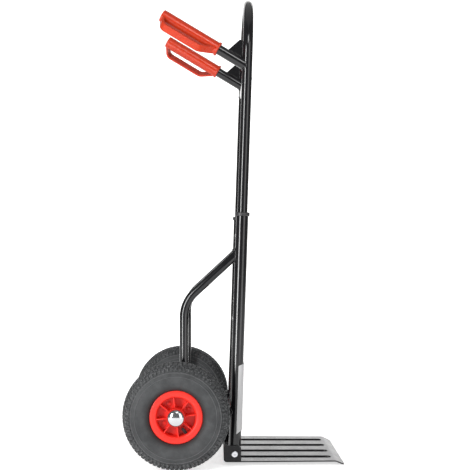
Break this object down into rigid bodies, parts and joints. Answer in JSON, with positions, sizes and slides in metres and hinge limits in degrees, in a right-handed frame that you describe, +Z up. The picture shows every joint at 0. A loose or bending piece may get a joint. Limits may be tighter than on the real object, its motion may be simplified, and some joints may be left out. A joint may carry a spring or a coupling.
{
  "type": "hand truck",
  "caption": "Upright sack truck with air-filled wheels, hinged toe plate, telescoping tube frame, two guarded rear grips and a bow top.",
  "frame": {"origin": "on the ground, under the centre of the bounding box", "axes": "+Z up, +X from the frame towards the toe plate, +Y the user's left"},
  "size_m": [0.542, 0.5302, 1.176],
  "materials": {
    "frame_black": "glossy black powder coat",
    "toe_plate_black": "semi-gloss black powder coat on pressed sheet",
    "back_plate_grey": "light grey satin coat on thin sheet",
    "bush_plastic": "moulded black nylon",
    "grip_plastic": "moulded orange-red plastic, softly glossy",
    "rim_plastic": "moulded orange-red plastic, softly glossy",
    "tyre_rubber": "matt dark grey rubber",
    "tube_rubber": "butyl rubber",
    "cap_chrome": "pressed cap, bright plated",
    "bright_zinc": "bright zinc plate",
    "plain_steel": "drawn steel, lightly oiled"
  },
  "bodies": {
    "lower_frame": {"axle": "plain_steel", "axle_washers": "bright_zinc", "back_plate": "back_plate_grey", "lower_crossbar_1": "frame_black", "lower_crossbar_2": "frame_black", "pivot_bolts": "bright_zinc", "pivot_nuts": "bright_zinc", "pivot_washers": "bright_zinc", "lower_tube_left": "frame_black", "lower_tube_right": "frame_black", "guide_bush_left": "bush_plastic", "guide_bush_right": "bush_plastic", "wheel_bracket_left": "frame_black", "wheel_bracket_right": "frame_black", "axle_plate_left": "frame_black", "axle_plate_right": "frame_black", "axle_spacer_left": "plain_steel", "axle_spacer_right": "plain_steel", "hub_cap_left": "cap_chrome", "hub_cap_right": "cap_chrome"},
    "upper_frame": {"upper_loop": "frame_black", "upper_crossbar": "frame_black", "guide_plug_left": "bush_plastic", "guide_plug_right": "bush_plastic", "snap_button_left": "plain_steel", "snap_button_right": "plain_steel", "snap_spring_left": "plain_steel", "snap_spring_right": "plain_steel", "handle_tube_left": "frame_black", "handle_tube_right": "frame_black", "gusset_left": "frame_black", "gusset_right": "frame_black", "grip_left": "grip_plastic", "grip_right": "grip_plastic"},
    "toe_plate": {"toe_plate": "toe_plate_black"},
    "wheel_left": {"tyre_left": "tyre_rubber", "inner_tube_left": "tube_rubber", "rim_outer_left": "rim_plastic", "rim_inner_left": "rim_plastic", "rim_screws_left": "bright_zinc", "valve_left": "tube_rubber", "bearing_outer_left": "plain_steel", "bearing_inner_left": "plain_steel"},
    "wheel_right": {"tyre_right": "tyre_rubber", "inner_tube_right": "tube_rubber", "rim_outer_right": "rim_plastic", "rim_inner_right": "rim_plastic", "rim_screws_right": "bright_zinc", "valve_right": "tube_rubber", "bearing_outer_right": "plain_steel", "bearing_inner_right": "plain_steel"}
  },
  "joints": [
    {"name": "frame_slide", "type": "slide", "parent": "lower_frame", "child": "upper_frame", "axis": [0.0332, 0, 0.9995], "range_m": [-0.3, 0]},
    {"name": "toe_plate_fold", "type": "hinge", "parent": "lower_frame", "child": "toe_plate", "pos_m": [0, 0, 0.0295], "axis": [0, -1, 0], "range_deg": [0, 88]},
    {"name": "wheel_left_spin", "type": "hinge", "parent": "lower_frame", "child": "wheel_left", "pos_m": [-0.141, 0.215, 0.13], "axis": [0, 1, 0], "continuous": true},
    {"name": "wheel_right_spin", "type": "hinge", "parent": "lower_frame", "child": "wheel_right", "pos_m": [-0.141, -0.215, 0.13], "axis": [0, 1, 0], "continuous": true}
  ]
}
